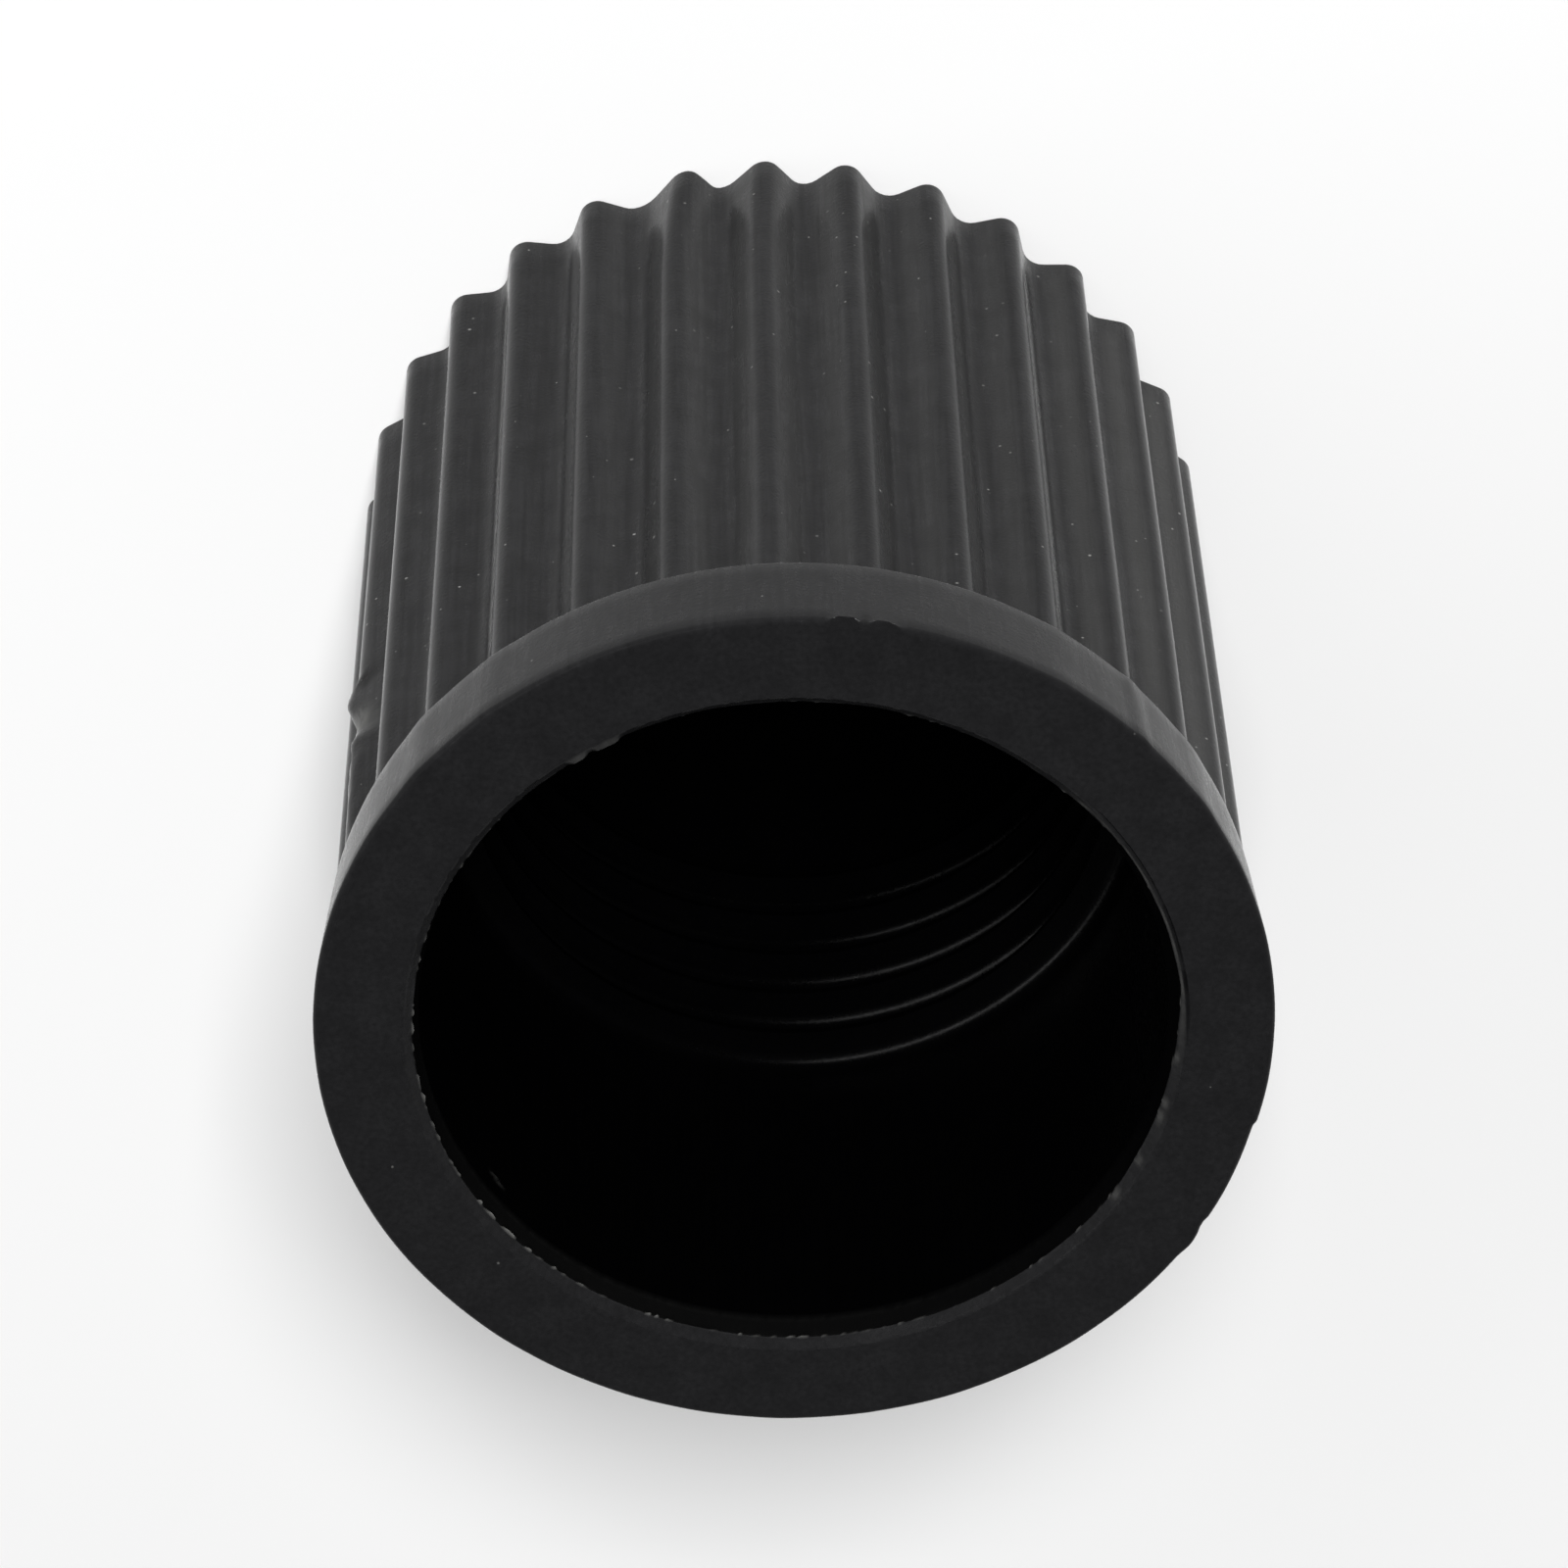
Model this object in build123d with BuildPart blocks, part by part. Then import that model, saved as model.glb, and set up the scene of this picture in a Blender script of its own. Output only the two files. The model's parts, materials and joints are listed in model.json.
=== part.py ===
from build123d import *
import math
import os

# Tyre valve cap, moulded in one piece. It stands on its closed head with the mouth up.
# Sizes are in millimetres and degrees.

# Thread of the valve stem that the cap screws onto, and the plain mouth that clears it
thread_major_diameter = 7.75
thread_depth = 0.375
stem_clearance = 0.025
counterbore_depth = 4.9
thread_lead_angle = 45.0
mouth_taper = 0.06
mouth_taper_depth = 0.32
mouth_edge_break = 0.1

# Outside
cap_height = 10.4
head_thickness = 1.2
mouth_wall = 1.1
mouth_edge_round = 0.06
collar_length = 1.3
collar_flare = 0.1
collar_step = 0.05

# Ribs round the barrel
rib_count = 30
rib_depth = 0.28
rib_draft = 1.0
rib_crest_round = 0.2
rib_root_round = 0.24
rib_straight_share = 0.05
head_edge_break = 0.06

# Radii of the bore and of the outside
thread_minor_radius = thread_major_diameter / 2 - thread_depth
counterbore_radius = thread_major_diameter / 2 + stem_clearance
mouth_radius = counterbore_radius + mouth_wall
collar_rear_radius = mouth_radius - collar_flare
rib_crest_at_collar = collar_rear_radius - collar_step

# Heights above the head's outer face
collar_rear_z = cap_height - collar_length
counterbore_floor_z = cap_height - counterbore_depth
thread_lead_height = (counterbore_radius - thread_minor_radius) / math.tan(math.radians(thread_lead_angle))
thread_top_z = counterbore_floor_z - thread_lead_height
rib_crest_at_head = rib_crest_at_collar - collar_rear_z * math.tan(math.radians(rib_draft))


def polar(radius, angle, centre=(0, 0)):
    """A point at a radius and an angle about a centre."""
    turn = math.radians(angle)
    return (centre[0] + radius * math.cos(turn), centre[1] + radius * math.sin(turn))


def rib_half(crest_radius):
    """Radius and angle of the four points on one flank of a rib whose crest is at angle 0.

    The crest and the root are arcs, and the flank between them is the straight line tangent to both.
    """
    half_pitch = 180 / rib_count
    half_width = crest_radius * math.sin(math.radians(half_pitch))
    # Arcs of this radius would meet with no straight flank, so it limits both rounds.
    full_round = (half_width**2 + rib_depth**2) / (4 * rib_depth)
    crest_round = min(rib_crest_round, full_round * (1 - rib_straight_share))
    root_round = min(rib_root_round, full_round * (1 - rib_straight_share))
    root_radius = crest_radius - rib_depth
    crest_centre = (crest_radius - crest_round, 0)
    root_centre = polar(root_radius + root_round, half_pitch)
    run = (root_centre[0] - crest_centre[0], root_centre[1] - crest_centre[1])
    flank = math.degrees(math.atan2(run[1], run[0]) - math.acos((crest_round + root_round) / math.hypot(*run)))
    crest_end = polar(crest_round, flank, crest_centre)
    root_start = polar(root_round, flank + 180, root_centre)
    points = [(crest_radius, 0), crest_end, root_start, polar(root_radius, half_pitch)]
    return [(math.hypot(*point), math.degrees(math.atan2(point[1], point[0]))) for point in points]


with BuildPart() as valve_cap:
    # The ribbed barrel narrows from the back of the collar to the head.
    for section_z, crest_radius in ((0, rib_crest_at_head), (collar_rear_z, rib_crest_at_collar)):
        with BuildSketch(Plane.XY.offset(section_z)):
            with BuildLine():
                crest, crest_end, root_start, root = rib_half(crest_radius)
                for number in range(rib_count):
                    middle = number * 360 / rib_count
                    following = middle + 360 / rib_count
                    crest_points = [polar(crest_end[0], middle + side * crest_end[1]) for side in (-1, 1)]
                    root_points = [
                        polar(root_start[0], middle + root_start[1]),
                        polar(root_start[0], following - root_start[1]),
                    ]
                    ThreePointArc(crest_points[0], polar(crest[0], middle), crest_points[1])
                    Line(crest_points[1], root_points[0])
                    ThreePointArc(root_points[0], polar(root[0], middle + root[1]), root_points[1])
                    Line(root_points[1], polar(crest_end[0], following - crest_end[1]))
            make_face()
    loft(ruled=True)
    chamfer(valve_cap.faces().sort_by(Axis.Z)[0].edges(), length=head_edge_break)

    # The plain collar stands a little proud of the rib crests and flares to the mouth.
    with BuildSketch(Plane.XZ):
        with BuildLine():
            Polyline(
                (0, collar_rear_z),
                (collar_rear_radius, collar_rear_z),
                (mouth_radius, cap_height),
                (0, cap_height),
                close=True,
            )
        make_face()
    revolve(axis=Axis.Z)
    fillet(valve_cap.faces().sort_by(Axis.Z)[-1].edges(), radius=mouth_edge_round)

    # The bore has a wide plain mouth that opens a little at its edge, then the wall that carries the thread.
    with BuildSketch(Plane.XZ):
        with BuildLine():
            Polyline(
                (0, head_thickness),
                (thread_minor_radius, head_thickness),
                (thread_minor_radius, thread_top_z),
                (counterbore_radius, counterbore_floor_z),
                (counterbore_radius, cap_height - mouth_taper_depth),
                (counterbore_radius + mouth_taper, cap_height - mouth_edge_break),
                (counterbore_radius + mouth_taper + mouth_edge_break, cap_height),
                (0, cap_height),
                close=True,
            )
        make_face()
    revolve(axis=Axis.Z, mode=Mode.SUBTRACT)

valve_cap.part.label = "valve_cap"
os.makedirs("parts", exist_ok=True)
export_step(valve_cap.part, "parts/valve_cap.step")
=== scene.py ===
import json
import math

import bpy
import numpy as np
from bpy.props import FloatProperty, FloatVectorProperty, IntProperty, PointerProperty
from bpy.types import Operator, Panel, PropertyGroup
from mathutils import Matrix, Vector, noise


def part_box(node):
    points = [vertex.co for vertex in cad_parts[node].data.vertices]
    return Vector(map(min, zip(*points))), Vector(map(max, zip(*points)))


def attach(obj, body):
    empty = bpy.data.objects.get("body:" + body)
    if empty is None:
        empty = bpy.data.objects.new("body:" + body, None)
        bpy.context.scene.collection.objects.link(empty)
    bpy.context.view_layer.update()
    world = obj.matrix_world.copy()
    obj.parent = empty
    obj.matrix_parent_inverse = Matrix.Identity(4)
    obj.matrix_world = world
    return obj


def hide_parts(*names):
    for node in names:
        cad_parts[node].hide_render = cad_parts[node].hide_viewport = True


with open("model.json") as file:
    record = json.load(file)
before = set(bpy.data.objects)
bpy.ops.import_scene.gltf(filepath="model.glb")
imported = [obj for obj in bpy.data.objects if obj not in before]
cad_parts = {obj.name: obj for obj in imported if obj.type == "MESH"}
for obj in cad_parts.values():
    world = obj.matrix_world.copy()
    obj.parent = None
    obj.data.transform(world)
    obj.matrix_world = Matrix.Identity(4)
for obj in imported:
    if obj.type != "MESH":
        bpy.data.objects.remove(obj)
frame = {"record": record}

bl_info = {
    "name": "Tyre valve cap",
    "version": (1, 0, 0),
    "blender": (4, 5, 0),
    "location": "View3D > Sidebar > Valve cap",
    "description": "Builds a ribbed moulded tyre valve cap and its studio stage around the packed frame",
    "category": "Object",
}

MM = 0.001
NODE = "valve_cap"
UP = Vector((0, 0, 1))

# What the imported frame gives: the cap's box and the two round walls of its bore
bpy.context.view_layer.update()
NODE_LOW, NODE_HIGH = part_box(NODE)
MOUNTS = {mount["name"]: mount for mount in frame["record"]["mounts"]}
THREAD_WALL = MOUNTS["stem_thread"]
MOUTH_WALL = MOUNTS["stem_mouth"]
CAD_RADIUS = min(-NODE_LOW.x, NODE_HIGH.x, -NODE_LOW.y, NODE_HIGH.y)

# The picture that the camera matches is this many pixels wide and high. In it the middle of the mouth
# lies at this pixel, and the camera's focal length is this many pixels.
PICTURE = 1600
MOUTH_PIXEL = Vector((810.606, 1053.294))
FOCAL_PIXELS = 8375.57

# Width of the camera's sensor, in millimetres
SENSOR = 36.0

# Points of the mesh round one half of a rib: along its crest arc, its flank and its root arc
CREST_STEPS, FLANK_STEPS, ROOT_STEPS = 4, 3, 3

# A rib's rounds reach at most this share of the size at which no straight flank would be left
FULLEST_ROUND = 0.95

# Steps of the mesh round the edges of the head and the collar's rear, and round the mouth's outer edge
EDGE_STEPS, MOUTH_EDGE_STEPS = 3, 4

# Edges that turn by more than this are shaded sharp
SHARP_EDGE = math.radians(45)

# Rings of the head and of the bore's floor: one point in so many, and a share of the full radius
HEAD_RINGS = ((4, 0.2), (4, 0.5), (2, 0.75), (1, 0.92))
FLOOR_RINGS = ((1, 1.0), (1, 0.9), (2, 0.6), (2, 0.3))

# The stretch of the barrel that has flash and so closer rings, and the steps below, in and above it
FLASH_LOW, FLASH_HIGH = 3.8 * MM, 8.7 * MM
BARREL_STEPS = (9, 44, 3)

# Steps up the collar, and the radius of its rear edge as a share of the mouth's outer edge
COLLAR_STEPS = 6
REAR_EDGE = 0.5

# Rings across the mouth face, down its inner bevel and down the taper, as shares of each
FACE_RINGS = (0.05, 0.3, 0.6, 0.85, 0.95, 0.975)
BEVEL_RINGS = (0, 0.3, 0.6, 0.85)
TAPER_RINGS = (0, 0.1, 0.4, 0.8, 0.93, 1)

# Rings of the plain wall, in millimetres below the taper; the deep ones have half the points
NEAR_BORE_RINGS = (0.1, 0.2, 0.25, 0.3, 0.35, 0.4, 0.45, 0.5, 0.6)
DEEP_BORE_RINGS = (0.8, 2.0, 3.4)

# Room that a wall's last free ring leaves before the ring that ends the wall
RING_GAP = 0.02 * MM

# The thread's section: slope of its mouth-side face, its crest as a share of the pitch, and its steps
THREAD_FACE = math.radians(80)
THREAD_CREST = 0.1
THREAD_ROUND_STEPS, THREAD_SLOPE_STEPS = 7, 6

# Shares of a turn: where the thread's open end has run out, how long it takes to, and the stretch in which
# the rings fall back to their start
RUN_OUT_END, RUN_OUT_LENGTH = 0.88, 0.16
SEAM_STRETCH = 40 / 360

# Share of a pitch over which the lowest groove fades out
THREAD_FADE = 0.5

# The cap's own faults follow. A place round the cap is a direction and a half width, both in degrees, and a
# fullness over 1 where the fault has a flat top.

# Rib ends that lean at the head, by so many degrees, and the height up to which they do
LEANING_RIBS = ((276, 1.8), (264, 0.7))
LEAN_WIDTH = 7
LEAN_HEIGHT = 2.5 * MM

# Flash on one rib: two lumps and the hollow between them. Heights are in millimetres, and middles are
# degrees from the rib's crest.
MASHED_RIB = 336
LUMP_WIDTH = 6.5
LOWER_LUMP = {"middle": -0.5, "foot": (5.35, 5.6), "top": (6.35, 5.65)}
UPPER_LUMP = {"middle": 0.5, "foot": (6.5, 6.85), "top": (9.0, 7.2)}
LOWER_PROUD, UPPER_PROUD, LUMP_RAGGED = 0.07 * MM, 0.025 * MM, 0.03 * MM
LUMP_LEAN = math.radians(1.5)
HOLLOW_MIDDLE, HOLLOW_WIDTH = 0.5, 5.5
HOLLOW_HEIGHT, HOLLOW_REACH = 6.35, 0.42
HOLLOW_DEPTH = 0.025 * MM

# Swellings of the collar over rib crests: direction, half width and height
GHOST_RIBS = ((204, 4, 0.014 * MM), (216, 2.2, 0.018 * MM), (300, 4, 0.012 * MM), (312, 4, 0.014 * MM),
              (228, 4, 0.008 * MM))

# The mouth's outer edge: a dent that deepens slowly and ends in a step, a notch, a bump, and two scallops
RIM_REACH = 0.35 * MM
DENT_START, DENT_GROWTH = 141, 14
DENT_END, DENT_STEP = 157.4, 0.7
DENT_DEPTH = 0.03 * MM
NOTCH, NOTCH_DEPTH = (141.2, 1.3), 0.02 * MM
BUMP, BUMP_HEIGHT = (138, 2.6), 0.03 * MM
SCALLOPS = ((255.4, 2.6, 1.3), (250.8, 2.6, 1.3))
SCALLOP_REACH, SCALLOP_THICKNESS = 0.1 * MM, 0.04 * MM
RIM_RAGGED = 0.006 * MM

# The mouth's inner edge: the side that is worn, the share of the bevel that is gone there, the burr's gap
# outside it, pale bits, and two tabs of flash
WORN_SIDE = (192, 30, 1.6)
WORN_AWAY = 0.65
BURR_GAP_DEPTH, BURR_GAP_WIDTH = 0.05 * MM, 0.022 * MM
PALE_BITS = ((213.8, 2.0), (165.5, 1.3), (157, 1.2), (154.5, 1.6), (146, 1.0), (139, 1.4))
FLASH_TABS = ((294.6, 2.2, 1.5), (289.8, 3.2, 1.5))
TAB_SLOPE, TAB_REACH, TAB_LIFT = 0.03 * MM, 0.008 * MM, 0.75
# The burr's pale tone is partly stressed plastic and partly a painted highlight along the inner edge.
BURR_PALE_AND_HIGHLIGHT, BITS_PALE, TABS_PALE = 0.35, 0.3, 0.22

# Torn specks on the inner edge, and the side on which the taper below them has a painted reflection and a
# painted highlight along its lower end
SPECKED_SIDE = (28, 75)
SPECK_HEIGHT, SPECK_PROUD = 0.02 * MM, 0.03 * MM
EDGE_RAGGED = 0.012 * MM
TAPER_PAINTED_LIGHT_SIDE = (50, 110)
TAPER_PAINTED_REFLECTION, TAPER_END_PAINTED_HIGHLIGHT, TAPER_END_RAGGED = 0.017, 0.01, 0.02
TAPER_END_HEIGHT = 0.03 * MM

# A streak of flash on the bore's wall: direction and half length in degrees, depth below the mouth face and
# half width in millimetres, and how far it rises for each degree
STREAK_SIDE, STREAK_LENGTH = 27.6, 2.4
STREAK_DEPTH, STREAK_WIDTH, STREAK_RISE = 0.7, 0.05, 0.022
STREAK_PROUD = 0.02 * MM
STREAK_PALE = 0.25

# Painted light on the rib flanks in the dust colour, stronger on the side where the light falls brighter:
# place, amount, and its middle and spread from 0 in a valley to 1 on a crest
FLANK_LIGHT_SIDES = ((262, 40, 0.048), (190, 60, 0.125))
FLANK_LIGHT_MIDDLE, FLANK_LIGHT_SPREAD = 0.48, 0.35

# Zones without ribs count as half way up a rib, where nothing is polished
PLAIN_ZONE = 0.5

# Which of the cap's finishes each zone of its skin has
ZONE_FINISH = {"head": 0, "barrel": 0, "collar": 1, "face": 2, "lip": 3, "bore": 4, "thread": 4}

# Tones of grain and drag marks together, between which the colour and the roughness change
COLOUR_TONES = (0.12, 0.4)
ROUGHNESS_TONES = (0.1, 0.45)
ROUGHNESS_SWING = 0.05
TORN_ROUGHNESS = 0.3

# How much smoother the crests of the ribs are, and where on a rib that begins and is complete
CREST_POLISH = 0.1
POLISHED_RIB = (0.6, 0.75)

SHEEN_ROUGHNESS = 0.2
BUMP_DEPTH = 0.01 * MM

# The floor: half its width in metres, its room below the head, its roughness, and its glow to the eye
FLOOR_HALF = 0.5
FLOOR_DROP = 0.02 * MM
FLOOR_ROUGHNESS = 0.9
FLOOR_GLOW = 0.2

# Sines of the heights at which the surround begins to dim and is at its dimmest
HORIZON_RISE, ZENITH_RISE = 0.1, 0.5


def wall_end(mount, side):
    """Height of one end of a round wall: side is -1 for the lower end and 1 for the upper."""
    return mount["pos_m"][2] + side * mount["dims"]["length_mm"] * MM / 2


def length(name, description, default):
    """A length property, in metres."""
    return FloatProperty(name=name, description=description, default=default, precision=6, unit="LENGTH")


def angle(name, description, degrees):
    """An angle property, given in degrees."""
    return FloatProperty(name=name, description=description, default=math.radians(degrees), unit="ROTATION")


def share(name, description, default):
    """A property between 0 and 1."""
    return FloatProperty(name=name, description=description, default=default, min=0, max=1,
                         subtype="FACTOR")


def colour(name, description, default):
    """A linear colour property."""
    return FloatVectorProperty(name=name, description=description, default=default, size=3, min=0, max=1,
                               subtype="COLOR")


def power(name, description, default):
    """A lamp's power property, in watts."""
    return FloatProperty(name=name, description=description, default=default, unit="POWER")


class CapSizes(PropertyGroup):
    """Sizes of the moulded cap."""

    height: length("Height", "Head face to mouth face", NODE_HIGH.z - NODE_LOW.z)
    mouth_radius: length("Mouth radius", "Outside of the collar at the mouth", CAD_RADIUS)
    collar_length: length("Collar length", "Plain collar behind the mouth face", 1.3 * MM)
    collar_flare: length("Collar flare", "Growth of the collar's radius towards the mouth", 0.1 * MM)
    collar_step: length("Collar step", "Height of the collar over the rib crests", 0.05 * MM)
    rib_count: IntProperty(name="Ribs", description="Ribs round the barrel", default=30, min=3)
    rib_depth: length("Rib depth", "Crest to root", 0.28 * MM)
    rib_draft: angle("Rib draft", "Taper of the barrel towards the head", 0.8)
    rib_crest_round: length("Rib crest round", "Radius of a rib's crest", 0.2 * MM)
    rib_root_round: length("Rib root round", "Radius of the valley between ribs", 0.24 * MM)
    head_edge_round: length("Head edge round", "Radius of the head's outer edge", 0.03 * MM)
    mouth_edge_round: length("Mouth edge round", "Radius of the mouth's outer edge", 0.06 * MM)
    counterbore_radius: length("Mouth hole radius", "Plain wall inside the mouth",
                               MOUTH_WALL["dims"]["r_mm"] * MM)
    taper_start: length("Taper start", "Height where the mouth begins to open", wall_end(MOUTH_WALL, 1))
    taper: length("Mouth taper", "Growth of the hole's radius up to its edge", 0.06 * MM)
    edge_break: length("Inner edge break", "Bevel between the hole and the mouth face", 0.1 * MM)
    thread_radius: length("Thread radius", "Inside of the thread's crests",
                          THREAD_WALL["dims"]["r_mm"] * MM)
    thread_pitch: length("Thread pitch", "32 turns to the inch", 25.4 / 32 * MM)
    thread_round: length("Thread round", "Radius between a groove and the face below it", 0.2 * MM)
    thread_top: length("Thread top", "Height of the top groove on the seam side of the bore", 5.07 * MM)
    thread_seam: angle("Thread seam", "Side of the bore on which the thread's open end runs out", 282.55)
    thread_end: length("Thread end", "Height below which the grooves have faded out", 1.3 * MM)
    bore_floor: length("Bore floor", "Height of the bore's closed end", wall_end(THREAD_WALL, -1))


class CapFinish(PropertyGroup):
    """Colours and surface of the moulded plastic."""

    skin: colour("Skin", "Matte black outside", (0.0115, 0.0115, 0.0121))
    # Painted shade: the lip and the bore are painted far darker than the skin of the same plastic, standing
    # in for the shade inside the mouth.
    lip: colour("Lip", "Smooth black just inside the mouth", (0.0012, 0.0012, 0.0013))
    bore: colour("Bore", "Deep black inside", (0.0006, 0.0006, 0.0007))
    # The torn-edge colour also paints highlights at the mouth's inner edge and a reflection on the taper
    # below it.
    torn_and_painted_light: colour("Torn edge", "Pale stressed plastic on torn edges", (0.11, 0.11, 0.105))
    # The dust colour also paints light onto the rib flanks.
    dust: colour("Dust", "Pale dust specks", (0.28, 0.28, 0.27))
    roughness: share("Roughness", "Roughness of the outside", 0.28)
    grain: length("Grain", "Size of the moulded grain", 0.045 * MM)


class StageSettings(PropertyGroup):
    """Floor, light and camera."""

    floor: colour("Floor", "Pale floor", (0.65, 0.65, 0.65))
    horizon: colour("Horizon", "Light from the sides", (1.0, 1.0, 1.0))
    zenith: colour("Zenith", "Light from above", (0.02, 0.02, 0.02))
    key_power: power("Key power", "Power of the soft key light", 0.6)
    top_power: power("Top power", "Power of the light above the mouth", 0.08)
    strip_power: power("Strip power", "Power of the strip light that looks into the bore", 0.09)
    view_turn: angle("View turn", "Side of the cap that the picture shows at its top", 262.5536)
    view_tilt: angle("View tilt", "Angle between the bore's axis and the line to the camera", 33.7913)
    view_roll: angle("View roll", "Roll of the camera about the line to the mouth", 1.5984)
    distance: length("Camera distance", "From the middle of the mouth", 85.057 * MM)


def rib_ring(sizes, crest_radius):
    """Radius and angle of every point round the ribs at one height, starting on the +X crest."""
    half_pitch = math.pi / sizes.rib_count
    half_width = crest_radius * math.sin(half_pitch)
    full_round = FULLEST_ROUND * (half_width**2 + sizes.rib_depth**2) / (4 * sizes.rib_depth)
    crest_round = min(sizes.rib_crest_round, full_round)
    root_round = min(sizes.rib_root_round, full_round)
    crest_centre = complex(crest_radius - crest_round, 0)
    root_centre = (crest_radius - sizes.rib_depth + root_round) * np.exp(1j * half_pitch)
    run = root_centre - crest_centre
    flank = np.angle(run) - math.acos((crest_round + root_round) / abs(run))
    crest = crest_centre + crest_round * np.exp(1j * np.linspace(0, flank, CREST_STEPS + 1))
    root_arc = np.linspace(flank + math.pi, half_pitch + math.pi, ROOT_STEPS + 1)
    root = root_centre + root_round * np.exp(1j * root_arc)
    straight = np.linspace(crest[-1], root[0], FLANK_STEPS + 1)
    half = np.concatenate([crest[:-1], straight[:-1], root])
    radius = np.concatenate([abs(half), abs(half[-2:0:-1])])
    turn = np.concatenate([np.angle(half), 2 * half_pitch - np.angle(half[-2:0:-1])])
    turns = turn + 2 * half_pitch * np.arange(sizes.rib_count)[:, None]
    return np.tile(radius, sizes.rib_count), turns.ravel()


def collar_rear(sizes):
    """Radius and height of the collar's rear edge."""
    return sizes.mouth_radius - sizes.collar_flare, sizes.height - sizes.collar_length


def ribs_at(sizes, height):
    """Radius and angle of every point round the ribs at a height, with the barrel's draft."""
    rear_radius, rear_z = collar_rear(sizes)
    crest_radius = rear_radius - sizes.collar_step - (rear_z - height) * math.tan(sizes.rib_draft)
    return rib_ring(sizes, crest_radius)


def ring(radius, turn, height):
    """Radius, angle and height of the points of one ring; each may be given as one number for all."""
    return np.stack(np.broadcast_arrays(radius, turn, height), axis=1)


def quarter_round(steps):
    """Sine, and one minus cosine, round a quarter circle."""
    arc = np.linspace(0, math.pi / 2, steps + 1)
    return list(zip(np.sin(arc), 1 - np.cos(arc)))


def window(value, centre, half_width):
    """A smooth bump: 1 at the centre and 0 from half_width on."""
    near = np.clip(np.abs(value - centre) / half_width, 0, 1)
    return (1 - near * near) ** 2


def ramp(value, start, end):
    """A smooth step from 0 at the start to 1 at the end."""
    part = np.clip((value - start) / (end - start), 0, 1)
    return part * part * (3 - 2 * part)


def turned_from(turn, direction):
    """Angle in degrees from a direction, between -180 and 180."""
    return (np.degrees(turn) - direction + 180) % 360 - 180


def side_window(turn, direction, half_width, fullness=1.0):
    """A smooth bump round one direction, in degrees. A fullness over 1 makes its top flat."""
    return np.clip(fullness * window(turned_from(turn, direction), 0, half_width), 0, 1)


def side_windows(turn, places):
    """Smooth bumps round several places, each a direction, a half width and perhaps a fullness."""
    return sum(side_window(turn, *place) for place in places)


def roughen(turn, size, seed):
    """A smooth ragged wave round the cap, between about -1 and 1, with one swing every size degrees."""
    reach = 360 / size / (2 * math.pi)
    return np.array([noise.noise(Vector((reach * math.cos(t), reach * math.sin(t), seed))) for t in turn])


def ragged_patch(across, height, swings, seed):
    """A smooth ragged pattern on a rib, between about -1 and 1, with so many swings per degree and mm."""
    per_degree, per_mm = swings
    return np.array([noise.noise(Vector((per_degree * a, per_mm * h, seed)))
                     for a, h in zip(across, height)])


def seam_share(sizes, turn):
    """Share of a full turn, from 0 to 1, that a direction lies on from the thread's seam."""
    return ((turn - sizes.thread_seam) / (2 * math.pi)) % 1.0


def thread_section(sizes):
    """One turn of the thread's section, from a groove down to the next: how far down, and how far in.

    A round leads from the groove into a steep face that ends in a narrow crest. A long slope leads back.
    """
    depth = sizes.counterbore_radius - sizes.thread_radius
    arc = np.linspace(0, THREAD_FACE, THREAD_ROUND_STEPS + 1)
    down = sizes.thread_round * np.sin(arc)
    into = sizes.thread_round * (1 - np.cos(arc))
    crest = down[-1] + (depth - into[-1]) / math.tan(THREAD_FACE)
    slope = np.linspace(0, 1, THREAD_SLOPE_STEPS + 1)
    crest_end = crest + THREAD_CREST * sizes.thread_pitch
    down = np.concatenate([down, [crest], crest_end + slope * (sizes.thread_pitch - crest_end)])
    into = np.concatenate([into, [depth], depth * (1 - slope)])
    return down, into


def thread_radius_at(sizes, turn, height):
    """Radius of the threaded wall at some heights, for a right-hand thread.

    Its open end runs out into the plain wall near the seam, and its grooves fade out above the floor.
    """
    around = seam_share(sizes, turn)
    below = (sizes.thread_top - height) / sizes.thread_pitch + around
    ridge = np.interp(below % 1.0 * sizes.thread_pitch, *thread_section(sizes))
    ridge = np.where(below < 0, 0.0, ridge)
    open_end = np.clip((RUN_OUT_END - around) / RUN_OUT_LENGTH, 0, 1)
    ridge = ridge * np.where(below < 1, open_end, 1.0)
    fade = np.clip((height - sizes.thread_end) / (THREAD_FADE * sizes.thread_pitch), 0, 1)
    depth = sizes.counterbore_radius - sizes.thread_radius
    return sizes.counterbore_radius - depth + fade * (depth - ridge)


def head_rings(sizes):
    """The flat head, from its middle out, and its rounded edge."""
    edge = sizes.head_edge_round
    radius, turn = ribs_at(sizes, 0.0)
    made = [ring(part * radius.min(), turn[::step], 0.0) for step, part in HEAD_RINGS]
    for out, up in quarter_round(EDGE_STEPS):
        radius, turn = ribs_at(sizes, edge * up)
        made.append(ring(radius - edge + edge * out, turn, edge * up))
    return made


def barrel_rings(sizes):
    """The ribbed barrel, with closer rings where its flash is."""
    rear_z = collar_rear(sizes)[1]
    ends = (sizes.head_edge_round, FLASH_LOW, FLASH_HIGH, rear_z - RING_GAP)
    stretches = [np.linspace(low, high, steps + 1)[1:]
                 for low, high, steps in zip(ends, ends[1:], BARREL_STEPS)]
    return [ring(*ribs_at(sizes, height), height) for height in np.concatenate([*stretches, [rear_z]])]


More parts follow.
